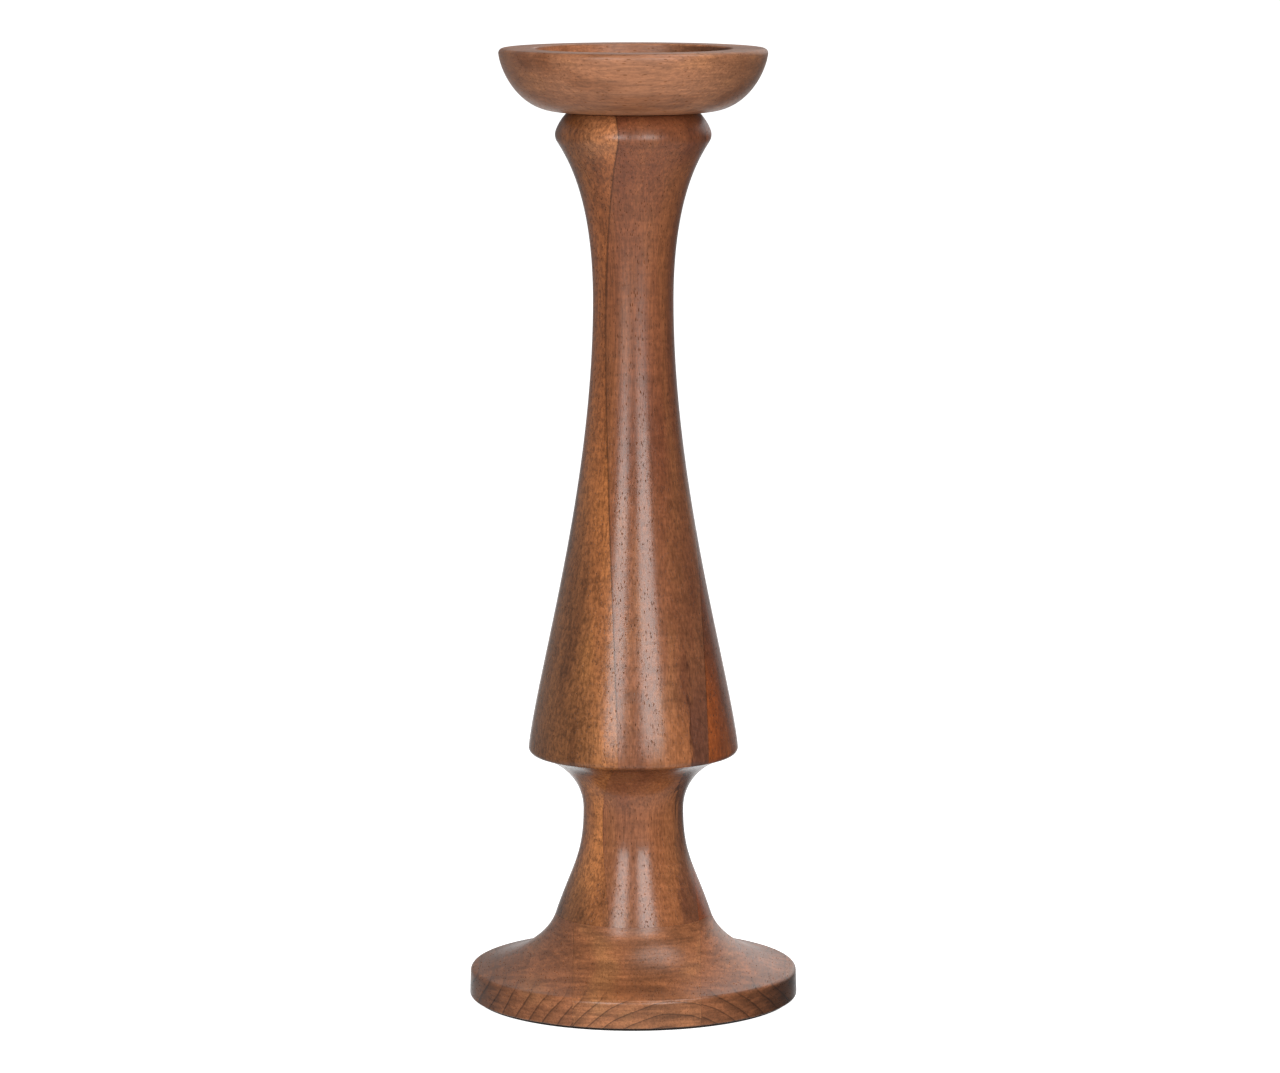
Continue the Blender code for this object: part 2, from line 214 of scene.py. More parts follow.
def sweep(start, start_lean, start_pull, end, end_lean, end_pull, count):
    """Smooth curve that leaves start and reaches end at the given leans."""
    start, end = Vector(start), Vector(end)
    handles = start + start_pull * along(start_lean), end - end_pull * along(end_lean)
    return interpolate_bezier(start, *handles, end, count)


def bend(start, lean, end_lean, radius, count):
    """Round arc that leaves start at one lean and ends at the other."""
    side = radius if end_lean < lean else -radius
    centre = Vector(start) + side * Vector((-math.cos(lean), math.sin(lean)))
    leans = [lean + (end_lean - lean) * i / (count - 1) for i in range(count)]
    return [centre + side * Vector((math.cos(a), -math.sin(a))) for a in leans]


def stem_outline(sizes):
    """Outline from the screw's pilot hole, out and up to the dowel's hole, and both waists."""
    fittings = bpy.context.scene.candlestick.fittings
    pilot_radius = fittings.screw_radius + JOINT_GAP
    pilot_space, chamfer = 2 * MM, 1 * MM
    pilot_top = SCREW_TIP + pilot_space
    points = [
        Vector((0, pilot_top)),
        Vector((pilot_radius, pilot_top - pilot_radius)),
        Vector((pilot_radius, TENON_BOTTOM)),
        Vector((TENON_RADIUS - chamfer, TENON_BOTTOM)),
        Vector((TENON_RADIUS, TENON_BOTTOM + chamfer)),
        Vector((TENON_RADIUS, STEM_BOTTOM)),
    ]
    # Foot, up to the lower waist
    foot, foot_lean, foot_pull = (sizes.foot_radius, STEM_BOTTOM), math.radians(18.7), 21.1 * MM
    lower, lower_pull = Vector((sizes.lower_waist, STEM_BOTTOM + sizes.foot_height)), 20.4 * MM
    points += sweep(foot, -foot_lean, foot_pull, lower, 0, lower_pull, count=36)[:-1]
    # Cove, and the skirt's rounded edge
    cove_lean, cove_pull, skirt_pull = math.radians(74.6), 12.2 * MM, 12.4 * MM
    cove_radius = sizes.skirt_radius - sizes.skirt_round * (1 - math.cos(cove_lean))
    skirt = (cove_radius, lower.y + sizes.cove_height)
    points += sweep(lower, 0, cove_pull, skirt, cove_lean, skirt_pull, count=32)
    body_lean, body_pull, upper_pull = math.radians(6.6), 33 * MM, 77.5 * MM
    points += bend(points.pop(), cove_lean, -body_lean, sizes.skirt_round, count=14)
    # Tapered body, up to the upper waist
    body = points.pop()
    upper = Vector((sizes.upper_waist, body.y + sizes.body_height))
    points += sweep(body, -body_lean, body_pull, upper, 0, upper_pull, count=44)[:-1]
    # Flare and bead
    flare = Vector((sizes.flare_radius, upper.y + sizes.flare_height))
    flare_lean, neck_pull, flare_pull = math.radians(31), 44 * MM, 6.8 * MM
    points += sweep(upper, 0, neck_pull, flare, flare_lean, flare_pull, count=36)
    crown_lean, crown_round = math.radians(20), 20 * MM
    points += bend(points.pop(), flare_lean, -crown_lean, sizes.bead_round, count=12)
    points += bend(points.pop(), -crown_lean, -LEVEL / 2, crown_round, count=10)
    top, hole_floor = points[-1].y, DOWEL_BOTTOM - END_SPACE
    hole_radius = fittings.dowel_radius + JOINT_GAP
    hole = (hole_radius, top), (hole_radius, hole_floor), (0, hole_floor)
    return points + [Vector(corner) for corner in hole], lower.y, upper.y


def base_outline(sizes):
    """Closed outline of the base, with its mortise and the screw's stepped hole."""
    fittings = bpy.context.scene.candlestick.fittings
    under_round, upper_round, draft = 0.8 * MM, 2 * MM, math.radians(2)
    under = (sizes.radius - under_round, BASE_BOTTOM)
    points = bend(under, LEVEL, -draft, under_round, count=6)
    edge = points[-1] + (sizes.edge_height - under_round) * along(-draft)
    slope, slope_pull = LEVEL - math.radians(8), 18 * MM
    points += bend(edge, -draft, -slope, upper_round, count=12)
    neck, neck_lean, neck_pull = (sizes.neck_radius, BASE_TOP), math.radians(16.4), 10.1 * MM
    points += sweep(points.pop(), -slope, slope_pull, neck, -neck_lean, neck_pull, count=56)
    mortise_radius, mortise_floor = TENON_RADIUS + JOINT_GAP, TENON_BOTTOM - END_SPACE
    hole_radius = fittings.screw_radius + JOINT_GAP
    sink_radius = fittings.head_radius + JOINT_GAP
    counterbore_radius = fittings.head_radius + COUNTERBORE_PLAY
    sink_bottom = SCREW_BOTTOM + HEAD_RIM + JOINT_GAP
    holes = (
        (mortise_radius, BASE_TOP),
        (mortise_radius, mortise_floor),
        (hole_radius, mortise_floor),
        (hole_radius, sink_bottom + HEAD_CONE),
        (sink_radius, sink_bottom),
        (counterbore_radius, sink_bottom),
        (counterbore_radius, BASE_BOTTOM),
    )
    return points + [Vector(corner) for corner in holes]


def dish_outline(sizes):
    """Outline from the dowel's hole, round the rim and back to the recess's floor."""
    fittings = bpy.context.scene.candlestick.fittings
    hole_radius, hole_top = fittings.dowel_radius + JOINT_GAP, DOWEL_TOP + END_SPACE
    outer_round, inner_round, fillet = 2 * MM, 0.7 * MM, 1.2 * MM
    side_lean, belly_pull, side_pull = math.radians(7), 15.7 * MM, 8.4 * MM
    side = (
        sizes.radius - outer_round * (1 - math.cos(side_lean)),
        DISH_TOP - outer_round * (1 + math.sin(side_lean)),
    )
    flat = (sizes.flat_radius, DISH_BOTTOM)
    hole = (0, hole_top), (hole_radius, hole_top), (hole_radius, DISH_BOTTOM)
    points = [Vector(corner) for corner in hole]
    points += sweep(flat, LEVEL, belly_pull, side, side_lean, side_pull, count=48)
    points += bend(points.pop(), side_lean, -LEVEL, outer_round, count=14)
    inner_rim = (sizes.recess_radius + inner_round, DISH_TOP)
    points += bend(inner_rim, -LEVEL, -2 * LEVEL, inner_round, count=8)
    floor = DISH_TOP - sizes.recess_depth
    points += bend((sizes.recess_radius, floor + fillet), -2 * LEVEL, -LEVEL, fillet, count=8)
    floor_rings = (0.9, 0.75, 0.5, 0.25, 0)  # shares of the recess's radius
    return points + [Vector((sizes.recess_radius * share, floor)) for share in floor_rings]


# Geometry Nodes

MATH, VECTOR_MATH, MAP_RANGE = "ShaderNodeMath", "ShaderNodeVectorMath", "ShaderNodeMapRange"


def fill(tree, node, inputs):
    """Fills a node's inputs. Each takes a value, a socket or a node's first output."""
    for name, value in inputs.items():
        if isinstance(name, str):
            into = next(s for s in node.inputs if s.enabled and s.name == name)
        else:
            into = node.inputs[name]
        if isinstance(value, bpy.types.Node):
            value = next(s for s in value.outputs if s.enabled)
        if isinstance(value, bpy.types.NodeSocket):
            tree.links.new(value, into)
        else:
            into.default_value = value


def add(tree, kind, inputs=None, **settings):
    """Adds a node with its settings and links."""
    node = tree.nodes.new(kind)
    for name, value in settings.items():
        setattr(node, name, value)
    fill(tree, node, inputs or {})
    return node


def new_tree(name, **inputs):
    """Geometry node tree with one geometry output, and its sockets for the inputs of each kind."""
    tree = bpy.data.node_groups.new(name, "GeometryNodeTree")
    for kind, labels in inputs.items():
        for label in labels:
            tree.interface.new_socket(label, in_out="INPUT", socket_type="NodeSocket" + kind)
    tree.interface.new_socket("Piece", in_out="OUTPUT", socket_type="NodeSocketGeometry")
    return tree, add(tree, "NodeGroupInput").outputs


def close_tree(tree, geometry, finish):
    """Ends a tree with real geometry and its finish."""
    real = add(tree, "GeometryNodeRealizeInstances", {"Geometry": geometry})
    finished = add(tree, "GeometryNodeSetMaterial", {"Geometry": real, "Material": finish})
    add(tree, "NodeGroupOutput", {"Piece": finished})
    return tree


def lathe_tree():
    """Turns a flat outline about the Z axis, with optional flutes cut along it.

    The outline lies in the XY plane as radius and height.
    """
    tree, given = new_tree(
        "Lathe",
        Geometry=["Outline"],
        Int=["Steps Round", "Flutes"],
        Float=["Path Radius", "Flute Depth", "Fluted Radius", "Weld"],
        Material=["Finish"],
    )
    outline = add(tree, "GeometryNodeMeshToCurve", {"Mesh": given["Outline"]})
    sizes = {"Resolution": given["Steps Round"], "Radius": given["Path Radius"]}
    circle = add(tree, "GeometryNodeCurvePrimitiveCircle", sizes)
    path = add(tree, "GeometryNodeSetCurveNormal", {"Curve": circle}, mode="Z_UP")
    swept = add(tree, "GeometryNodeCurveToMesh", {"Curve": path, "Profile Curve": outline})
    seams = {"Geometry": swept, "Distance": given["Weld"]}
    welded = add(tree, "GeometryNodeMergeByDistance", seams)

    place = add(tree, "ShaderNodeSeparateXYZ", {"Vector": add(tree, "GeometryNodeInputPosition")})
    x, y = place.outputs["X"], place.outputs["Y"]
    around = add(tree, MATH, {0: y, 1: x}, operation="ARCTAN2")
    wave = add(tree, MATH, {0: around, 1: given["Flutes"]}, operation="MULTIPLY")
    ridge = add(tree, MATH, {0: wave}, operation="COSINE")
    groove = {"From Min": 1.0, "From Max": -1.0, "To Max": given["Flute Depth"]}
    cut = add(tree, MAP_RANGE, {"Value": ridge, **groove})
    inward = add(tree, MATH, {0: cut, 1: -1.0}, operation="MULTIPLY")
    flat = add(tree, "ShaderNodeCombineXYZ", {"X": x, "Y": y})
    outward = add(tree, VECTOR_MATH, {0: flat}, operation="NORMALIZE")
    offset = add(tree, VECTOR_MATH, {0: outward, "Scale": inward}, operation="SCALE")
    radius = add(tree, VECTOR_MATH, {0: flat}, operation="LENGTH")
    rim = {"A": radius.outputs["Value"], "B": given["Fluted Radius"]}
    beyond = add(tree, "FunctionNodeCompare", rim, operation="GREATER_THAN")
    moved = {"Geometry": welded, "Selection": beyond, "Offset": offset}
    fluted = add(tree, "GeometryNodeSetPosition", moved)
    return close_tree(tree, fluted, given["Finish"])


def thread_tree():
    """Sharp thread that winds up a screw's shank."""
    tree, given = new_tree(
        "Screw Thread",
        Geometry=["Shank"],
        Int=["Steps In Turn"],
        Float=["Turns", "Start Radius", "Tip Radius", "Thread Length", "Ridge"],
        Vector=["Thread Start"],
        Material=["Finish"],
    )
    helix = add(
        tree,
        "GeometryNodeCurveSpiral",
        {
            "Resolution": given["Steps In Turn"],
            "Rotations": given["Turns"],
            "Start Radius": given["Start Radius"],
            "End Radius": given["Tip Radius"],
            "Height": given["Thread Length"],
        },
    )
    upright = add(tree, "GeometryNodeSetCurveNormal", {"Curve": helix}, mode="Z_UP")
    ridge = add(
        tree, "GeometryNodeCurvePrimitiveCircle", {"Resolution": 3, "Radius": given["Ridge"]}
    )
    wound = {"Curve": upright, "Profile Curve": ridge, "Fill Caps": True}
    thread = add(tree, "GeometryNodeCurveToMesh", wound)
    raised = {"Geometry": thread, "Translation": given["Thread Start"]}
    lifted = add(tree, "GeometryNodeTransform", raised)
    both = add(tree, "GeometryNodeJoinGeometry", {0: lifted})
    tree.links.new(given["Shank"], both.inputs[0])
    return close_tree(tree, both, given["Finish"])


def grown(mesh, tree, inputs):
    """Runs a node tree on a mesh and returns the plain mesh that it makes."""
    source = bpy.data.objects.new(tree.name, mesh)
    bpy.context.scene.collection.objects.link(source)
    modifier = source.modifiers.new(tree.name, "NODES")
    modifier.node_group = tree
    for item in tree.interface.items_tree:
        if item.in_out == "INPUT" and item.name in inputs:
            modifier[item.identifier] = inputs[item.name]
    source.update_tag()
    bpy.context.view_layer.update()
    evaluated = source.evaluated_get(bpy.context.evaluated_depsgraph_get())
    made = bpy.data.meshes.new_from_object(evaluated)
    source.modifiers.remove(modifier)
    bpy.data.objects.remove(source)
    return made


def turned(name, outline, steps, finish, closed=False, flutes=0, flute_depth=0.0):
    """Mesh of an outline turned about the Z axis."""
    path_radius = 1 * MM
    # The sweep lays the outline's Y axis downwards
    points = [(p.x - path_radius, -p.y, 0.0) for p in outline]
    edges = [(i, i + 1) for i in range(len(points) - 1)]
    if closed:
        edges.append((len(points) - 1, 0))
    profile = bpy.data.meshes.new(name + "_outline")
    profile.from_pydata(points, edges, [])
    tree = bpy.data.node_groups.get("Lathe") or lathe_tree()
    widest = max(p.x for p in outline)
    inputs = {
        "Steps Round": steps,
        "Path Radius": path_radius,
        "Flutes": flutes,
        "Flute Depth": flute_depth,
        "Fluted Radius": widest - flute_depth if flutes else 2 * widest,
        "Weld": WELD,
        "Finish": finish,
    }
    made = grown(profile, tree, inputs)
    made.name = name
    return made


def tidy(mesh):
    """Welds doubles, points faces outwards and marks the sharp edges."""
    bm = bmesh.new()
    bm.from_mesh(mesh)
    bmesh.ops.remove_doubles(bm, verts=bm.verts, dist=WELD)
    bmesh.ops.recalc_face_normals(bm, faces=bm.faces)
    bm.to_mesh(mesh)
    bm.free()
    mesh.shade_smooth()
    mesh.set_sharp_from_angle(angle=SHARP_ANGLE)
    return mesh


def sawn(name, whole, wood, cuts):
    """The share of a turned mesh that lies behind every cut, each a point and an outward normal."""
    bm = bmesh.new()
    bm.from_mesh(whole)
    for point, normal in cuts:
        geometry = bm.verts[:] + bm.edges[:] + bm.faces[:]
        made = bmesh.ops.bisect_plane(
            bm, geom=geometry, dist=1e-7, plane_co=point, plane_no=normal, clear_outer=True
        )
        edges = [e for e in made["geom_cut"] if isinstance(e, bmesh.types.BMEdge)]
        if edges:
            bmesh.ops.triangle_fill(bm, use_beauty=True, edges=edges, normal=normal)
    mesh = bpy.data.meshes.new(name)
    bm.to_mesh(mesh)
    bm.free()
    if not mesh.polygons:
        raise RuntimeError(f"{name}: nothing is left of it")
    mesh.materials.append(wood)
    return tidy(mesh)


def recessed(mesh, reach, half_width, depth):
    """Cuts a tapered cross recess into the underside of a screw's head."""
    arms = []
    for quarter in range(4):
        turn = Matrix.Rotation(quarter * LEVEL, 3, "Z")
        for corner in ((half_width, half_width), (reach, half_width), (reach, -half_width)):
            arms.append(turn @ Vector((*corner, 0)))
    arms.sort(key=lambda p: math.atan2(p.y, p.x))
    # The cutter starts just below the head and narrows to about a third
    below, narrowing = 0.1 * MM, 0.35
    count = len(arms)
    points = [p + Vector((0, 0, SCREW_BOTTOM - below)) for p in arms]
    points += [narrowing * p + Vector((0, 0, SCREW_BOTTOM + depth)) for p in arms]
    faces = [list(range(count))[::-1], list(range(count, 2 * count))]
    faces += [(i, (i + 1) % count, count + (i + 1) % count, count + i) for i in range(count)]
    cutter_mesh = bpy.data.meshes.new("cross")
    cutter_mesh.from_pydata(points, [], faces)
    cutter = bpy.data.objects.new("cross", cutter_mesh)
    head = bpy.data.objects.new("head", mesh)
    for obj in (cutter, head):
        bpy.context.scene.collection.objects.link(obj)
    cut = head.modifiers.new("cross", "BOOLEAN")
    cut.operation, cut.solver, cut.object = "DIFFERENCE", "EXACT", cutter
    evaluated = head.evaluated_get(bpy.context.evaluated_depsgraph_get())
    made = bpy.data.meshes.new_from_object(evaluated)
    head.modifiers.remove(cut)
    for obj in (cutter, head):
        bpy.data.objects.remove(obj)
    return tidy(made)


def show(name, mesh, slot, *nodes):
    """Adds a finished piece that stands for its CAD nodes."""
    obj = bpy.data.objects.new(name, mesh)
    bpy.context.scene.collection.objects.link(obj)
    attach(obj, BODY)
    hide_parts(*nodes)


def part_out(whole, pieces):
    """Saws a turned mesh into its glued pieces and shows each one."""
    for name, node, wood, slot, cuts in pieces:
        show(name, sawn(name, whole, wood, cuts), slot, node)
    bpy.data.meshes.remove(whole)


# Finishes

PORE_COLOUR = "#452716"


def painted(colour):
    """A hex colour, one share or three shares as a colour with full cover."""
    if isinstance(colour, str):
        colour = linear(colour)
    elif isinstance(colour, (int, float)):
        colour = [colour] * 3
    return (*colour, 1.0)


def hexed(colour):
    """A colour setting as a hex colour, which patch lays over what lies under it."""
    shares = [12.92 * s if s <= 0.0031308 else 1.055 * s ** (1 / 2.4) - 0.055 for s in colour]
    return "#" + "".join(f"{round(255 * s):02X}" for s in shares)


def patch(tree, colour, paint, cover, *windows):
    """Lays paint over a colour where every window is open, and returns the new colour.

    A hex colour covers what lies under it, and shares darken or lighten it. A window is a value
    and the two levels between which it opens.
    """
    for value, shut, wide in windows:
        cover = add(
            tree,
            MAP_RANGE,
            {"Value": value, "From Min": shut, "From Max": wide, "To Max": cover},
            interpolation_type="SMOOTHSTEP",
        )
    return add(
        tree,
        "ShaderNodeMix",
        {"Factor": cover, "A": colour, "B": painted(paint)},
        data_type="RGBA",
        blend_type="MIX" if isinstance(paint, str) else "MULTIPLY",
    )


def noises(tree, place, table):
    """Noises from 0 to 1, by name, each with its grain's size in mm along X, Y and Z."""
    made = {}
    for name, size, detail, roughness in table:
        share = [1 / side for side in size]
        scaled = add(tree, VECTOR_MATH, {0: place, 1: share}, operation="MULTIPLY")
        levels = {"Scale": 1.0, "Detail": detail, "Roughness": roughness}
        made[name] = add(tree, "ShaderNodeTexNoise", {"Vector": scaled, **levels})
    return made


def new_finish(name):
    """A new material's tree and shader, and object coordinates in millimetres."""
    material = bpy.data.materials.new(name)
    material.use_nodes = True
    tree = material.node_tree
    place = add(tree, "ShaderNodeTexCoord").outputs["Object"]
    in_mm = add(tree, VECTOR_MATH, {0: place, 1: [1 / MM] * 3}, operation="MULTIPLY")
    return material, tree, tree.nodes["Principled BSDF"], in_mm


def lacquered_mango(
    name,
    body,
    pale,
    deep,
    pith,
    grain,
    blank=(0, 0, 0),
    blank_turn=(0, 0, 0),
    ring=5.0,
    ring_shade=0.1,
    ring_wander=0.5,
    ring_height=None,
    band=12.0,
    mottle=0.15,
    curl=(30.0, 3.0, 1.5),
    curl_shade=0.06,
    figure_shade=0.05,
    fibre=0.12,
    pores=0.85,
    pore_cell=(0.75, 3.6),
    pore_size=0.36,
    sheen=0.22,
    dulling=((0, 1), 0.0),
    arch=(0.0, 0.0),
    marks=(),
):
    """Mango wood, turned, sanded, stained mid brown and lacquered to a satin sheen.

    The eye sees slow golden and dark bands along the grain, fine fibre streaks, dark growth
    lines, curly ripples across the grain, and open pores that the lacquer doesn't fill, which
    show as dashes on long grain and as dots where the turning cuts across it. pith and grain
    place the board in its tree: the grain is local Z and the pith is the origin. Marks lie in the
    blank's own axes. Lengths are in millimetres.
    """
    material, tree, shader, in_mm = new_finish(name)
    board, marked = (
        add(
            tree,
            "ShaderNodeMapping",
            {"Vector": in_mm, "Location": place, "Rotation": turn},
            vector_type="TEXTURE",
        )
        for place, turn in ((pith, grain), (blank, blank_turn))
    )
    # The fibres wander by a millimetre or two
    drift = noises(tree, board, [("drift", (24, 24, 90), 1.5, 0.5)])["drift"].outputs["Color"]
    centred = add(tree, VECTOR_MATH, {0: drift, 1: (0.5, 0.5, 0.5)}, operation="SUBTRACT")
    fibres = add(tree, VECTOR_MATH, {0: centred, 1: (4, 4, 0), 2: board}, operation="MULTIPLY_ADD")
    seen = noises(
        tree,
        fibres,
        (
            ("slow", (band, band, band * 11), 2.0, 0.5),
            ("streak", (1.0, 1.0, 26.0), 3.0, 0.6),
            ("cloud", (1.3, 1.3, 2.2), 3.0, 0.7),
            ("dash", (0.5, 0.5, 6.0), 1.0, 0.5),
            ("ragged", (2.2, 2.2, 16.0), 2.0, 0.5),
        ),
    )
    figure = [2.5 * side for side in curl]
    seen |= noises(tree, marked, (("curl", curl, 1.5, 0.5), ("figure", figure, 1.5, 0.5)))
    axes = add(tree, "ShaderNodeSeparateXYZ", {"Vector": marked}).outputs
    seen |= {"x": axes["X"], "y": axes["Y"], "z": axes["Z"]}
    # A stain's edge wanders by 3.5 mm either way
    spread = add(tree, MATH, {0: seen["ragged"], 1: 7.0, 2: -3.5}, operation="MULTIPLY_ADD")
    seen["edge"] = add(tree, MATH, {0: axes["X"], 1: spread}, operation="ADD")
    off = add(tree, MATH, {0: axes["X"], 1: arch[0]}, operation="SUBTRACT")
    bow = add(tree, MATH, {0: off, 1: 2.0}, operation="POWER")
    seen["arch"] = add(tree, MATH, {0: bow, 1: arch[1], 2: axes["Z"]}, operation="MULTIPLY_ADD")

    # Each year darkens slowly and ends in a thin dark line
    flat = add(tree, VECTOR_MATH, {0: fibres, 1: (1, 1, 0)}, operation="MULTIPLY")
    radius = add(tree, VECTOR_MATH, {0: flat}, operation="LENGTH")
    years = add(tree, MATH, {0: radius.outputs["Value"], 1: ring}, operation="DIVIDE")
    years = add(tree, MATH, {0: seen["slow"], 1: ring_wander, 2: years}, operation="MULTIPLY_ADD")
    seen["year"] = add(tree, MATH, {0: years}, operation="FRACT")

    ringed = [("z", *ring_height)] if ring_height else []
    colour = patch(tree, painted(deep), hexed(body), 1.0, (seen["slow"], 0.34, 0.5))
    layers = [
        (pale, 1.0, ("slow", 0.5, 0.68)),
        *marks,
        (1 - fibre, 1.0, ("streak", 0.52, 0.36)),
        (1 + fibre, 1.0, ("streak", 0.48, 0.64)),
        (1 - fibre, 1.0, ("dash", 0.52, 0.6)),
        (1 + fibre / 2, 1.0, ("dash", 0.48, 0.4)),
        (1 - mottle, 1.0, ("cloud", 0.5, 0.58)),
        (1 + mottle * 0.5, 1.0, ("cloud", 0.5, 0.42)),
        (1 - curl_shade, 1.0, ("curl", 0.5, 0.4)),
        (1 + curl_shade, 1.0, ("curl", 0.5, 0.6)),
        (1 - figure_shade, 1.0, ("figure", 0.5, 0.42)),
        (1 + figure_shade, 1.0, ("figure", 0.5, 0.58)),
        (1 - ring_shade * 0.5, 1.0, ("year", 0.3, 0.95), ("year", 1.0, 0.95), *ringed),
        (1 - ring_shade, 1.0, ("year", 0.84, 0.92), ("year", 0.99, 0.95), *ringed),
    ]
    for paint, cover, *windows in layers:
        windows = [(seen[value], shut, wide) for value, shut, wide in windows]
        colour = patch(tree, colour, paint, cover, *windows)

    # Pores are 0.1 to 0.2 mm wide, too fine to show, so they are drawn up to 0.5 mm wide
    across, lengthways = pore_cell
    share = (1 / across, 1 / across, 1 / lengthways)
    close = add(tree, VECTOR_MATH, {0: fibres, 1: share}, operation="MULTIPLY")
    cell = add(tree, "ShaderNodeTexVoronoi", {"Vector": close, "Scale": 1.0}).outputs
    tone = add(tree, "ShaderNodeSeparateColor", {"Color": cell["Color"]})
    smallest, full = 0.3 * pore_size, pore_size
    width = add(tree, MAP_RANGE, {"Value": tone, "To Min": smallest, "To Max": full})
    inner = add(tree, MATH, {0: width, 1: 0.6}, operation="MULTIPLY")
    pore = add(tree, MAP_RANGE, {"Value": cell["Distance"], "From Min": width, "From Max": inner})
    colour = patch(tree, colour, PORE_COLOUR, pores, (pore, 0.0, 1.0))
    glossy, satin = sheen - 0.03, sheen + 0.05
    levels = {"From Min": 0.3, "From Max": 0.7, "To Min": glossy, "To Max": satin}
    gloss = add(tree, MAP_RANGE, {"Value": seen["streak"], **levels})
    # The polish is thinner over some heights
    (shut, wide), dullness = dulling
    heights = {"From Min": shut, "From Max": wide, "To Max": dullness}
    dull = add(tree, MAP_RANGE, {"Value": axes["Z"], **heights}, interpolation_type="SMOOTHSTEP")
    gloss = add(tree, MATH, {0: gloss, 1: dull}, operation="ADD")
    gloss = add(tree, MATH, {0: pore, 1: 0.5, 2: gloss}, operation="MULTIPLY_ADD")
    # A hole in the lacquer gives back hardly any light
    glint = add(tree, MAP_RANGE, {"Value": pore, "To Min": 0.5, "To Max": 0.1})
    height = add(tree, MATH, {0: seen["streak"], 1: 0.2}, operation="MULTIPLY")
    height = add(tree, MATH, {0: height, 1: pore}, operation="SUBTRACT")
    relief = {"Height": height, "Strength": 0.5, "Distance": 0.15 * MM}
    look = {"Base Color": colour, "Roughness": gloss, "Specular IOR Level": glint}
    look["Normal"] = add(tree, "ShaderNodeBump", relief)
    fill(tree, shader, look)
    return material


def steamed_beech(name, colour):
    """Machined beech, left bare: pale pinkish tan with short brown flecks along the grain."""
    material, tree, shader, in_mm = new_finish(name)
    table = (("fleck", (0.5, 0.5, 3.0), 1.0, 0.5), ("streak", (1.5, 1.5, 30.0), 2.0, 0.5))
    seen = noises(tree, in_mm, table)
    tone = patch(tree, painted(colour), 0.88, 1.0, (seen["streak"], 0.4, 0.7))
    tone = patch(tree, tone, "#8F6540", 0.6, (seen["fleck"], 0.6, 0.68))
    fill(tree, shader, {"Base Color": tone, "Roughness": 0.6})
    return material


def zinc_plate(name, colour):
    """Zinc-plated steel: bright grey metal with faint straw and cloudy patches."""
    material, tree, shader, in_mm = new_finish(name)
    seen = noises(tree, in_mm, [("cloud", (2.0, 2.0, 2.0), 3.0, 0.6)])
    tone = patch(tree, painted(colour), "#B9AE8F", 0.5, (seen["cloud"], 0.5, 0.7))
    rough = add(tree, MAP_RANGE, {"Value": seen["cloud"], "To Min": 0.22, "To Max": 0.45})
    fill(tree, shader, {"Base Color": tone, "Roughness": rough, "Metallic": 1.0})
    return material


def pressed_felt(name, colour):
    """Pressed wool felt: matt near-black pile with paler loose fibres and a soft sheen."""
    material, tree, shader, in_mm = new_finish(name)
    table = (("fibre", (2.4, 1.2, 1.2), 3.0, 0.7), ("pile", (0.8, 0.8, 0.8), 2.0, 0.6))
    seen = noises(tree, in_mm, table)
    tone = patch(tree, painted(colour), "#3E3734", 0.7, (seen["fibre"], 0.5, 0.6))
    height = add(tree, MATH, {0: seen["fibre"], 1: seen["pile"]}, operation="ADD")
    bump = add(tree, "ShaderNodeBump", {"Height": height, "Strength": 0.6, "Distance": 0.2 * MM})
    look = {"Base Color": tone, "Roughness": 0.95, "Sheen Weight": 0.1, "Normal": bump}
    fill(tree, shader, look)
    return material


# Pieces


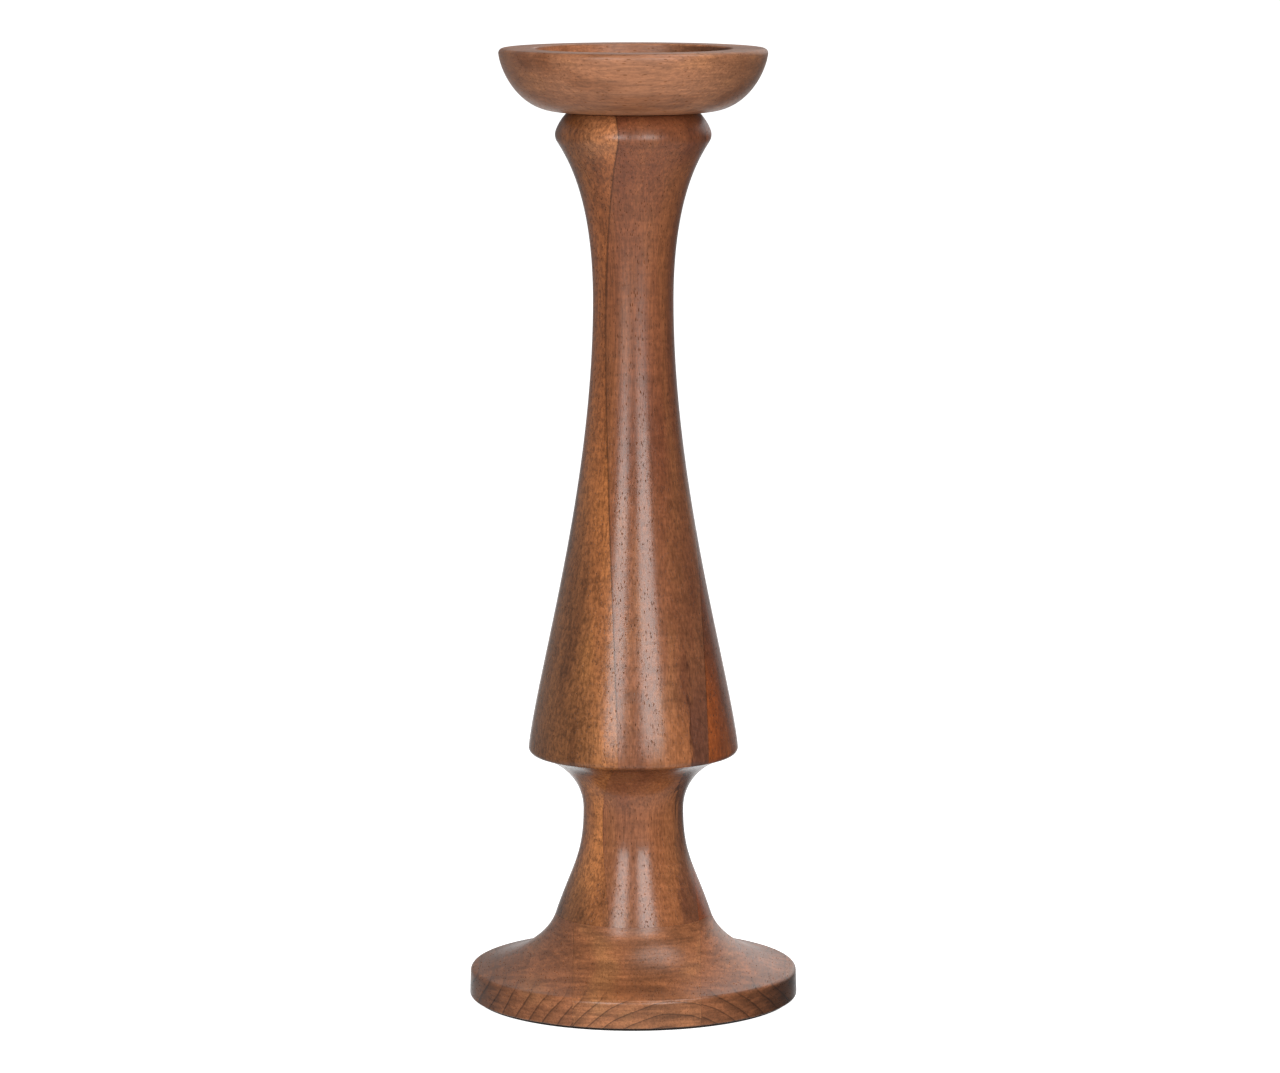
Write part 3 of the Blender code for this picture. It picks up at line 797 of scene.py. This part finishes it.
class CANDLESTICK_OT_turn_stem(bpy.types.Operator):
    """Turn the stem and part it into its glued staves"""

    bl_idname = "candlestick.turn_stem"
    bl_label = "Turn Stem"

    def execute(self, context):
        sizes = context.scene.candlestick.stem
        outline, lower, upper = stem_outline(sizes)
        whole = turned("stem", outline, sizes.steps, None)
        half_height = (TENON_BOTTOM + STEM_TOP) / 2
        turn = Euler((0, sizes.stave_lean, sizes.stave_turn))
        blank = Matrix.Translation((0, 0, half_height)) @ turn.to_matrix().to_4x4()
        side = (turn.to_matrix() @ Vector((1, 0, 0))).normalized()
        half = sizes.stave_thickness / 2
        left = blank @ Vector((sizes.stave_offset - half, 0, 0))
        right = blank @ Vector((sizes.stave_offset + half, 0, 0))
        gap = side * SEAM_GAP / 2
        up = Vector((0, 0, 1))
        left_seam = (sizes.stave_offset - half) / MM
        right_seam = (sizes.stave_offset + half) / MM
        shared = {
            "grain": tuple(turn),
            "blank": (blank @ Vector((0, 0, -half_height))) / MM,
            "blank_turn": tuple(turn),
            "dulling": ((215, 285), 0.12),
        }
        middle_height = half_height / MM
        # The stain took darker and redder towards the top
        aged = ((0.77, 0.67, 0.6), 1.0, ("z", 110, 290))
        # Painted light round the lower waist, between the cove and the foot
        low = (1.16, 1.0, ("z", 104, 92), ("z", 38, 62))
        # Thin dark glue lines, drawn about 0.5 mm wide
        left_glue, right_glue = (
            (0.6, cover, ("x", x - 0.5, x - 0.15), ("x", x + 0.5, x + 0.15), ("z", 116, 132))
            for x, cover in ((left_seam, 1.0), (right_seam, 0.6))
        )
        golden = lacquered_mango(
            "mango_left_stave",
            sizes.golden,
            "#A86D40",
            "#7E4F30",
            pith=(-60, 45, middle_height),
            ring=11,
            ring_shade=0.08,
            mottle=0.3,
            pore_cell=(0.8, 2.0),
            pore_size=0.32,
            pores=0.7,
            marks=(
                # Darker wood away from the seam
                (0.8, 1.0, ("edge", left_seam - 5, left_seam - 16)),
                ((1.2, 1.14, 1.1), 1.0, ("edge", left_seam - 11, left_seam - 4)),
                aged,
                low,
                # Peach sapwood on the bead
                ("#B0754C", 0.55, ("z", 352, 362), ("edge", left_seam - 16, left_seam - 8)),
                left_glue,
            ),
            **shared,
        )
        brown = lacquered_mango(
            "mango_middle_stave",
            sizes.brown,
            "#99623F",
            "#804D34",
            pith=(8, 90, middle_height),
            ring=13,
            ring_shade=0.06,
            mottle=0.14,
            fibre=0.14,
            pore_cell=(0.65, 3.4),
            pore_size=0.33,
            pores=0.75,
            arch=(-8.0, 0.085),
            marks=(
                aged,
                low,
                (0.82, 1.0, ("x", 6, 14), ("z", 345, 320)),
                # Tan sapwood between the arch and the heartwood
                ("#A9683F", 0.6, ("edge", 1, 7), ("edge", 16.5, 15), ("z", 136, 118)),
                # Dark heartwood beside the right seam
                ("#6A4131", 0.72, ("edge", 15.6, 18.5), ("z", 150, 122), ("z", 45, 90)),
                (
                    "#3A1E14",
                    0.75,
                    ("edge", 15.0, 16.2),
                    ("edge", 18.0, 16.6),
                    ("z", 172, 150),
                    ("z", 60, 95),
                    ("ragged", 0.45, 0.6),
                ),
                # Faint arch of one growth line
                (
                    "#6F4632",
                    0.4,
                    ("arch", 127.5, 136.0),
                    ("arch", 137.1, 136.3),
                    ("x", 5, 0),
                    ("y", -20, -30),
                ),
                left_glue,
                right_glue,
            ),
            **shared,
        )
        red = lacquered_mango(
            "mango_right_stave",
            sizes.red,
            "#98532B",
            "#74422A",
            pith=(70, 60, middle_height),
            ring=12,
            ring_shade=0.1,
            mottle=0.14,
            marks=(
                aged,
                (0.88, 1.0, ("z", 92, 104)),
                # Orange sapwood on the bead, and beside the seam on the skirt
                ("#9C552E", 0.5, ("z", 350, 360)),
                ("#A2501F", 0.5, ("x", right_seam + 9, right_seam + 5), ("z", 160, 125)),
                right_glue,
            ),
            **shared,
        )
        outer, foot_top, bead_foot = (right + gap, -side), up * lower, up * upper
        staves = (
            ("left_stave", golden, "stem_golden_wood", [(left - gap, side)]),
            ("middle_stave", brown, "stem_brown_wood", [(left + gap, -side), (right - gap, side)]),
            ("right_stave_foot", red, "stem_red_wood", [outer, (foot_top, up)]),
            ("right_stave_body", red, "stem_red_wood", [outer, (foot_top, -up), (bead_foot, up)]),
            ("right_stave_bead", red, "stem_red_wood", [outer, (bead_foot, -up)]),
        )
        part_out(whole, [(name, "stem_" + name, *rest) for name, *rest in staves])
        return {"FINISHED"}


class CANDLESTICK_OT_turn_base(bpy.types.Operator):
    """Turn the base and part it into its three boards"""

    bl_idname = "candlestick.turn_base"
    bl_label = "Turn Base"

    def execute(self, context):
        sizes = context.scene.candlestick.base
        whole = turned("base", base_outline(sizes), sizes.steps, None, closed=True)
        half = sizes.board_width / 2
        left = Vector((sizes.board_offset - half, 0, 0))
        right = Vector((sizes.board_offset + half, 0, 0))
        side = Vector((1, 0, 0))
        gap = side * SEAM_GAP / 2
        edge = ("z", 14, 11)
        # End grain shows the growth lines on the edge, and curly ripples hide them on the top
        shared = {
            "grain": (-LEVEL, 0, 0),
            "ring": 5.0,
            "ring_shade": 0.5,
            "ring_wander": 0.4,
            "ring_height": (17, 10),
            "band": 22.0,
            "curl": (20.0, 4.0, 1.1),
            "curl_shade": 0.15,
            "figure_shade": 0.12,
            "pore_cell": (0.9, 3.0),
            "pore_size": 0.3,
            "pores": 0.3,
            "sheen": 0.3,
        }
        # The edge is paler than the top and darker towards the far left end, with a painted sheen
        # over the middle board's edge and painted shade at the far right end
        boards = (
            (
                "left",
                "base_brown_wood",
                (sizes.left, "#A26B46", "#855335"),
                (13.2, -40, -27.6),
                0.1,
                ((1.16, 1.0, edge), (0.56, 1.0, ("x", -46, -67), edge)),
                [(left - gap, side)],
            ),
            (
                "middle",
                "base_golden_wood",
                (sizes.middle, "#A46D44", "#875434"),
                (14, 0, -27),
                0.12,
                # Paler edge, with a painted sheen over it
                (((1.26, 1.34, 1.42), 1.0, edge),),
                [(left + gap, -side), (right - gap, side)],
            ),
            (
                "right",
                "base_red_wood",
                (sizes.right, "#A26A44", "#845234"),
                (14.8, 40, -26.3),
                0.12,
                # Paler edge, with painted shade towards its far right end
                ((1.16, 1.0, edge), (0.24, 1.0, ("x", 30, 67), edge)),
                [(right + gap, -side)],
            ),
        )
        pieces = []
        for board, slot, colours, pith, mottle, marks, cuts in boards:
            wood = lacquered_mango(
                "mango_base_" + board, *colours, pith=pith, mottle=mottle, marks=marks, **shared
            )
            pieces.append(("base_" + board, f"base_{board}_board", wood, slot, cuts))
        part_out(whole, pieces)
        return {"FINISHED"}


class CANDLESTICK_OT_turn_dish(bpy.types.Operator):
    """Turn the dish from one board"""

    bl_idname = "candlestick.turn_dish"
    bl_label = "Turn Dish"

    def execute(self, context):
        sizes = context.scene.candlestick.dish
        top = DISH_TOP / MM
        wood = lacquered_mango(
            "mango_dish",
            sizes.wood,
            "#A9714C",
            "#8C5838",
            pith=(0, -40, DISH_BOTTOM / MM - 60),
            grain=(0, LEVEL, 0),
            ring=6.0,
            ring_shade=0.08,
            mottle=0.1,
            curl=(12.0, 5.0, 0.8),
            curl_shade=0.09,
            fibre=0.12,
            pore_cell=(0.9, 4.0),
            pore_size=0.3,
            pores=0.45,
            marks=(
                # Painted shade at the left and right of the dish's front, a little redder at the
                # left
                (0.75, 1.0, ("x", 20, 50), ("y", 5, -5)),
                ((0.75, 0.71, 0.69), 1.0, ("x", -20, -50), ("y", 5, -5)),
                # Painted light makes the left of the recess pale, and painted shade makes its right
                # dark
                (1.3, 1.0, ("y", 0, 12), ("x", -5, -25), ("z", top - 0.4, top - 1)),
                (0.36, 1.0, ("y", 0, 12), ("x", -5, 38), ("z", top - 0.4, top - 1)),
            ),
            sheen=0.4,
        )
        mesh = tidy(turned("dish", dish_outline(sizes), sizes.steps, wood))
        show("dish", mesh, "dish_wood", "candle_dish")
        return {"FINISHED"}


class CANDLESTICK_OT_make_dowel(bpy.types.Operator):
    """Make the fluted dowel that holds the dish"""

    bl_idname = "candlestick.make_dowel"
    bl_label = "Make Dowel"

    def execute(self, context):
        sizes = context.scene.candlestick.fittings
        radius, chamfer = sizes.dowel_radius, 0.8 * MM
        corners = (
            (0, DOWEL_BOTTOM),
            (radius - chamfer, DOWEL_BOTTOM),
            (radius, DOWEL_BOTTOM + chamfer),
            (radius, DOWEL_TOP - chamfer),
            (radius - chamfer, DOWEL_TOP),
            (0, DOWEL_TOP),
        )
        outline = [Vector(corner) for corner in corners]
        wood = steamed_beech("steamed_beech", sizes.beech)
        steps_in_flute = 12
        steps = steps_in_flute * sizes.flutes
        fluted = {"flutes": sizes.flutes, "flute_depth": sizes.flute_depth}
        mesh = turned("dowel", outline, steps, wood, **fluted)
        show("dowel", tidy(mesh), "dowel_beech", "dish_dowel")
        return {"FINISHED"}


class CANDLESTICK_OT_make_screw(bpy.types.Operator):
    """Make the countersunk wood screw that holds the base"""

    bl_idname = "candlestick.make_screw"
    bl_label = "Make Screw"

    def execute(self, context):
        sizes = context.scene.candlestick.fittings
        zinc = zinc_plate("zinc_plated_steel", sizes.zinc)
        core_share, tip, point, plain_length = 0.72, 0.25 * MM, 5 * MM, 6 * MM
        core = sizes.screw_radius * core_share
        neck, last = SCREW_BOTTOM + HEAD_RIM + HEAD_CONE, SCREW_TIP - point
        corners = (
            (0, SCREW_BOTTOM),
            (sizes.head_radius, SCREW_BOTTOM),
            (sizes.head_radius, SCREW_BOTTOM + HEAD_RIM),
            (core, neck),
            (core, last),
            (tip, SCREW_TIP),
            (0, SCREW_TIP),
        )
        steps = 64
        shank = tidy(turned("shank", [Vector(corner) for corner in corners], steps, zinc))
        shank = recessed(shank, reach=2.5 * MM, half_width=0.5 * MM, depth=1.6 * MM)
        thread_start = neck + plain_length
        thread_length = last - thread_start
        inputs = {
            "Turns": thread_length / sizes.thread_pitch,
            "Steps In Turn": 24,
            "Start Radius": core,
            "Tip Radius": core,
            "Thread Length": thread_length,
            "Thread Start": (0, 0, thread_start),
            "Ridge": sizes.screw_radius - core - SEAM_GAP,
            "Finish": zinc,
        }
        mesh = grown(shank, thread_tree(), inputs)
        show("screw", tidy(mesh), "screw_zinc", "base_screw")
        return {"FINISHED"}


class CANDLESTICK_OT_cut_felt(bpy.types.Operator):
    """Cut the round felt under the base"""

    bl_idname = "candlestick.cut_felt"
    bl_label = "Cut Felt"

    def execute(self, context):
        sizes = context.scene.candlestick.fittings
        felt = pressed_felt("pressed_felt", sizes.felt)
        steps, thickness = 288, BASE_BOTTOM - SEAM_GAP
        edge = (sizes.felt_radius - thickness / 2, 0)
        outline = [Vector((0, 0)), *bend(edge, LEVEL, -LEVEL, thickness / 2, count=7)]
        outline.append(Vector((0, thickness)))
        show("felt", tidy(turned("felt", outline, steps, felt)), "base_felt", "base_felt")
        return {"FINISHED"}


def soft_box(name, place, turn, brightness, width, height=None):
    """Area light that the camera can't see: a disc, or a rectangle where it has a height."""
    light = bpy.data.lights.new(name, "AREA")
    light.size, area = width, math.pi * width**2 / 4
    light.shape = "DISK"
    if height:
        light.shape = "RECTANGLE"
        light.size_y, area = height, width * height
    light.energy = brightness * math.pi * area
    lamp = bpy.data.objects.new(name, light)
    lamp.location, lamp.rotation_euler = place, turn
    lamp.visible_camera = False
    bpy.context.scene.collection.objects.link(lamp)


class CANDLESTICK_OT_set_stage(bpy.types.Operator):
    """Lay the floor and set the lights and the camera"""

    bl_idname = "candlestick.set_stage"
    bl_label = "Set Stage"

    def execute(self, context):
        scene = context.scene
        sizes = scene.candlestick.stage
        scene.view_settings.view_transform = "Standard"

        # White painted board, lit from all round, that fades into the white surround. It is clear
        # from beneath, where the felt then shows
        board = bpy.data.materials.new("white_floor")
        board.use_nodes = True
        tree = board.node_tree
        beneath = add(tree, "ShaderNodeNewGeometry").outputs["Backfacing"]
        solid = add(tree, MATH, {0: 1.0, 1: beneath}, operation="SUBTRACT")
        look = {
            "Base Color": (*sizes.floor, 1.0),
            "Roughness": 0.9,
            "Emission Color": (1, 1, 1, 1),
            "Emission Strength": 1.0,
            "Alpha": solid,
        }
        fill(tree, tree.nodes["Principled BSDF"], look)
        reach, low = 30, -SEAM_GAP
        corners = [(-reach, -reach), (reach, -reach), (reach, reach), (-reach, reach)]
        mesh = bpy.data.meshes.new("floor")
        mesh.from_pydata([(x, y, low) for x, y in corners], [], [range(4)])
        mesh.materials.append(board)
        floor = bpy.data.objects.new("floor", mesh)
        floor.visible_diffuse = floor.visible_glossy = False  # it lights nothing
        scene.collection.objects.link(floor)

        world = bpy.data.worlds.new("white_surround")
        world.use_nodes = True
        tree = world.node_tree
        # The room round the object, as directions and how bright each one is
        heading = add(tree, "ShaderNodeTexCoord").outputs["Generated"]
        glow = sizes.surround
        for direction, shut, wide, brightness in (
            ((-0.6, 0.8, 0.0), 0.0, 1.0, sizes.backlight),
            ((0.42, 0.83, 0.37), 0.86, 0.98, sizes.backdrop),
            ((0.0, 0.95, -0.3), 0.9, 0.99, sizes.backdrop),
            ((0.0, -0.5, -0.86), 0.2, 1.0, sizes.bounce),
        ):
            facing = add(tree, VECTOR_MATH, {0: heading, 1: direction}, operation="DOT_PRODUCT")
            level = add(
                tree,
                MAP_RANGE,
                {
                    "Value": facing.outputs["Value"],
                    "From Min": shut,
                    "From Max": wide,
                    "To Max": brightness,
                },
                interpolation_type="SMOOTHSTEP",
            )
            glow = add(tree, MATH, {0: level, 1: glow}, operation="ADD")
        seen = add(tree, "ShaderNodeLightPath").outputs["Is Camera Ray"]
        strength = add(tree, MAP_RANGE, {"Value": seen, "To Min": glow, "To Max": 1.0})
        fill(tree, tree.nodes["Background"], {"Color": (1, 1, 1, 1), "Strength": strength})
        scene.world = world

        # A soft box overhead, a little to the right, for the rim and the top of the base
        place, width = Vector((0.4, -0.15, 1.45)), 0.8
        turn = (Vector((0, 0, DISH_TOP)) - place).to_track_quat("-Z", "Y").to_euler()
        soft_box("overhead", place, turn, sizes.overhead, width)

        # Two upright soft boxes, which the lacquer shows as two upright strips of light
        foot, height, away = 0.26, 0.84, 1.2
        for name, bearing, width in (("left_strip", -21.5, 0.42), ("right_strip", 21.5, 0.5)):
            turn = math.radians(bearing)
            place = (math.sin(turn) * away, -math.cos(turn) * away, foot + height / 2)
            soft_box(name, place, (LEVEL, 0, turn), sizes.strips, width, height)

        lens = bpy.data.cameras.new("camera")
        lens.lens = sizes.lens
        lens.clip_start, lens.clip_end = 0.05, 100
        camera = bpy.data.objects.new("camera", lens)
        aside = 2.8 * MM
        camera.location = (aside, -sizes.distance, sizes.height)
        camera.rotation_euler = (LEVEL - sizes.pitch, 0, 0)
        scene.collection.objects.link(camera)
        scene.camera = camera
        return {"FINISHED"}


class CANDLESTICK_PT_panel(bpy.types.Panel):
    """Buttons that make the candlestick"""

    bl_label = "Candlestick"
    bl_idname = "CANDLESTICK_PT_panel"
    bl_space_type = "VIEW_3D"
    bl_region_type = "UI"
    bl_category = "Candlestick"

    def draw(self, context):
        for operator in OPERATORS:
            self.layout.operator(operator.bl_idname)


GROUPS = (
    StemSettings,
    BaseSettings,
    DishSettings,
    FittingSettings,
    StageSettings,
    CandlestickSettings,
)
OPERATORS = (
    CANDLESTICK_OT_turn_stem,
    CANDLESTICK_OT_turn_base,
    CANDLESTICK_OT_turn_dish,
    CANDLESTICK_OT_make_dowel,
    CANDLESTICK_OT_make_screw,
    CANDLESTICK_OT_cut_felt,
    CANDLESTICK_OT_set_stage,
)


def register():
    for each in (*GROUPS, *OPERATORS, CANDLESTICK_PT_panel):
        bpy.utils.register_class(each)
    bpy.types.Scene.candlestick = PointerProperty(type=CandlestickSettings)


def unregister():
    del bpy.types.Scene.candlestick
    for each in reversed((*GROUPS, *OPERATORS, CANDLESTICK_PT_panel)):
        bpy.utils.unregister_class(each)


def main():
    register()
    bpy.ops.candlestick.turn_stem()
    bpy.ops.candlestick.turn_base()
    bpy.ops.candlestick.turn_dish()
    bpy.ops.candlestick.make_dowel()
    bpy.ops.candlestick.make_screw()
    bpy.ops.candlestick.cut_felt()
    bpy.ops.candlestick.set_stage()


if __name__ == "__main__":
    main()
